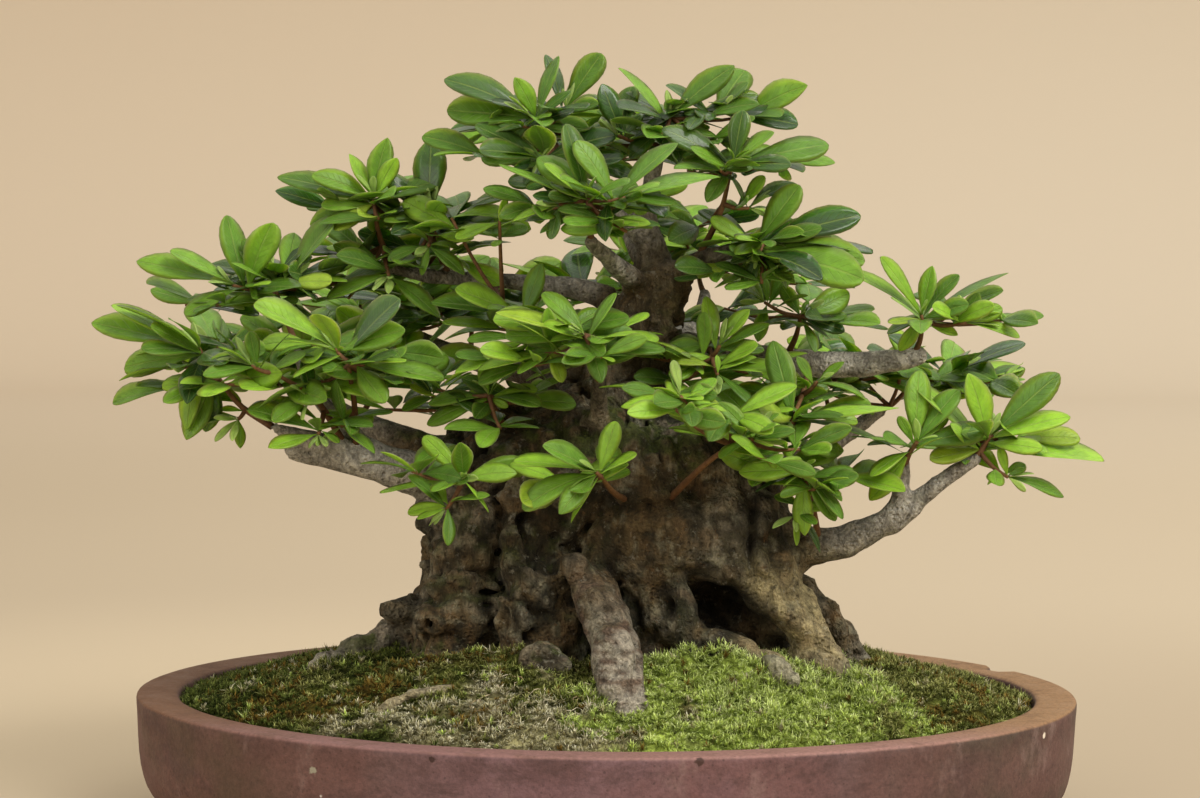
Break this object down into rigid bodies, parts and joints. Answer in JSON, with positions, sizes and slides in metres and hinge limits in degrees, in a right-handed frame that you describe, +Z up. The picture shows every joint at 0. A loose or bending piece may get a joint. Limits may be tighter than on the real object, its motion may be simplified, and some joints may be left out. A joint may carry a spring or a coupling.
{
  "type": "potted satsuki azalea bonsai",
  "caption": "Old azalea bonsai with a massive flared trunk, surface roots and open whorls of small leaves, set in mossed soil in a shallow oval unglazed pot",
  "frame": {"origin": "on the table under the middle of the pot's foot print", "axes": "+Z up, +X to the viewer's right, the tree's front faces -Y"},
  "size_m": [0.4159, 0.32, 0.3271],
  "materials": {
    "stoneware": "unglazed, mottled purple-brown",
    "screen": "moulded mesh",
    "soil": "damp granular soil",
    "moss_bright": "living cushion moss",
    "moss_dark": "living moss in shade",
    "moss_mixed": "green and olive moss",
    "moss_straw": "dry sphagnum strands",
    "bark": "rough grey-brown living bark",
    "leaf": "glossy living leaf"
  },
  "bodies": {
    "root": {"pot": "stoneware", "drain_screen_left": "screen", "drain_screen_right": "screen", "soil": "soil", "moss_bright": "moss_bright", "moss_dark": "moss_dark", "moss_mixed": "moss_mixed", "moss_straw": "moss_straw", "tree": "bark", "spray_left_low": "leaf", "spray_left_top": "leaf", "spray_left_mid": "leaf", "spray_left_inner": "leaf", "spray_upper_left": "leaf", "spray_upper_left_inner": "leaf", "spray_centre_left": "leaf", "spray_apex_left": "leaf", "spray_apex_front": "leaf", "spray_apex_top": "leaf", "spray_apex_right": "leaf", "spray_right_top": "leaf", "spray_centre_mid": "leaf", "spray_shoulder_left": "leaf", "spray_centre_right": "leaf", "spray_right_inner": "leaf", "spray_right_mid": "leaf", "spray_front_right": "leaf", "spray_front_left": "leaf", "spray_front_centre": "leaf", "spray_right_low_inner": "leaf", "spray_right_upper": "leaf", "spray_right_lower": "leaf", "spray_right_end": "leaf", "spray_back_left": "leaf", "spray_back_left_inner": "leaf", "spray_back_middle": "leaf", "spray_back_middle_low": "leaf", "spray_back_right": "leaf", "spray_back_right_inner": "leaf", "spray_back_top": "leaf", "spray_left_behind": "leaf", "spray_left_behind_inner": "leaf"}
  },
  "joints": []
}
